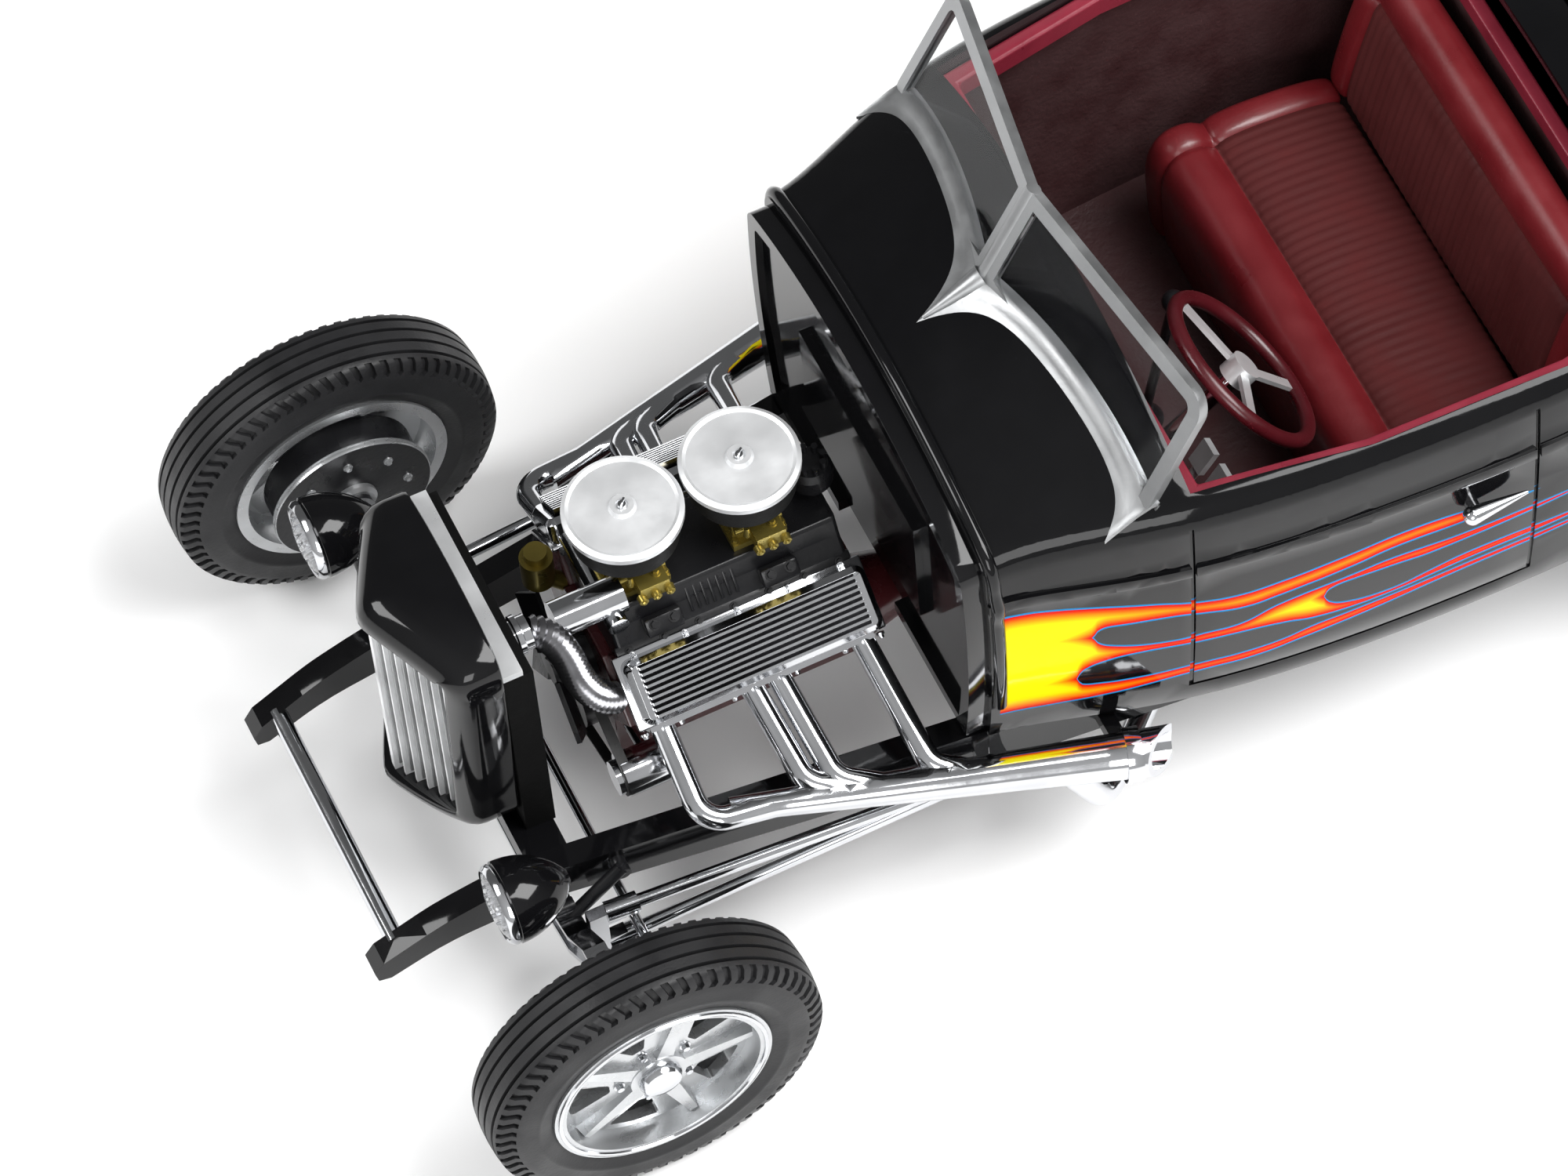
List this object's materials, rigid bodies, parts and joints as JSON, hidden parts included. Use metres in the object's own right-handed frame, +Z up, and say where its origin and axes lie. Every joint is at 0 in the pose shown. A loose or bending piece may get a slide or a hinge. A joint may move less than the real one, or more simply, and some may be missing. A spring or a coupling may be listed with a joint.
{
  "type": "scale model hot rod",
  "caption": "Open roadster hot rod scale model with exposed V engine, bullet headlamps, raked V windshield, pleated seat and freely rolling wheels.",
  "frame": {"origin": "on the ground under the middle of the bounding box", "axes": "+X forward to the grille, +Y to the car's left, +Z up"},
  "size_m": [0.1428, 0.0676, 0.0571],
  "materials": {
    "gloss_black": "gloss",
    "satin_black": "satin",
    "chrome": "polished",
    "silver": "satin",
    "engine_red": "satin",
    "gold": "satin",
    "tyre": "satin",
    "burgundy": "satin",
    "maroon_dark": "matte",
    "trim_pink": "satin",
    "clear": "clear",
    "lamp_red": "gloss",
    "filter_black": "matte"
  },
  "bodies": {
    "chassis": {"air_cleaner_lids": "chrome", "air_filters": "filter_black", "body_shell": "gloss_black", "cabin_lining": "maroon_dark", "carburettors": "gold", "cockpit_trim": "trim_pink", "cylinder_heads": "engine_red", "dashboard": "burgundy", "distributor": "satin_black", "door_handles": "chrome", "drive_shaft": "satin_black", "engine_block": "engine_red", "engine_pulleys": "satin_black", "exhaust_headers": "chrome", "exhaust_pipes": "chrome", "firewall": "gloss_black", "frame_crossmembers": "gloss_black", "frame_rails": "gloss_black", "front_axle": "chrome", "front_brakes": "satin_black", "front_dampers": "chrome", "front_radius_rods": "chrome", "front_spring": "satin_black", "fuel_pump": "gold", "fuel_tank": "gloss_black", "gear_lever": "satin_black", "gearbox": "engine_red", "generator": "chrome", "grille_bars": "chrome", "grille_shell": "gloss_black", "headlamp_buckets": "gloss_black", "headlamp_lenses": "clear", "intake_manifold": "satin_black", "pedals": "chrome", "radiator": "satin_black", "radiator_hose": "chrome", "radiator_strip": "chrome", "rear_axle": "satin_black", "rear_radius_rods": "chrome", "rear_struts": "chrome", "seat_back": "burgundy", "seat_cushion": "burgundy", "spreader_bars": "chrome", "steering_column": "chrome", "steering_linkage": "chrome", "steering_wheel_rim": "burgundy", "steering_wheel_spokes": "chrome", "tail_lamps": "lamp_red", "valve_covers": "chrome", "water_housing": "chrome", "windshield_frame": "silver", "windshield_panes": "clear"},
    "wheel_front_left": {"tyre_front_left": "tyre", "rim_front_left": "silver"},
    "wheel_front_right": {"tyre_front_right": "tyre", "rim_front_right": "silver"},
    "wheel_rear_left": {"tyre_rear_left": "tyre", "rim_rear_left": "silver"},
    "wheel_rear_right": {"tyre_rear_right": "tyre", "rim_rear_right": "silver"}
  },
  "joints": [
    {"name": "wheel_front_left_spin", "type": "hinge", "parent": "chassis", "child": "wheel_front_left", "pos_m": [0.05635, 0.0299, 0.0136], "axis": [0, 1, 0], "continuous": true},
    {"name": "wheel_front_right_spin", "type": "hinge", "parent": "chassis", "child": "wheel_front_right", "pos_m": [0.05635, -0.0299, 0.0136], "axis": [0, 1, 0], "continuous": true},
    {"name": "wheel_rear_left_spin", "type": "hinge", "parent": "chassis", "child": "wheel_rear_left", "pos_m": [-0.05135, 0.0296, 0.0152], "axis": [0, 1, 0], "continuous": true},
    {"name": "wheel_rear_right_spin", "type": "hinge", "parent": "chassis", "child": "wheel_rear_right", "pos_m": [-0.05135, -0.0296, 0.0152], "axis": [0, 1, 0], "continuous": true}
  ]
}
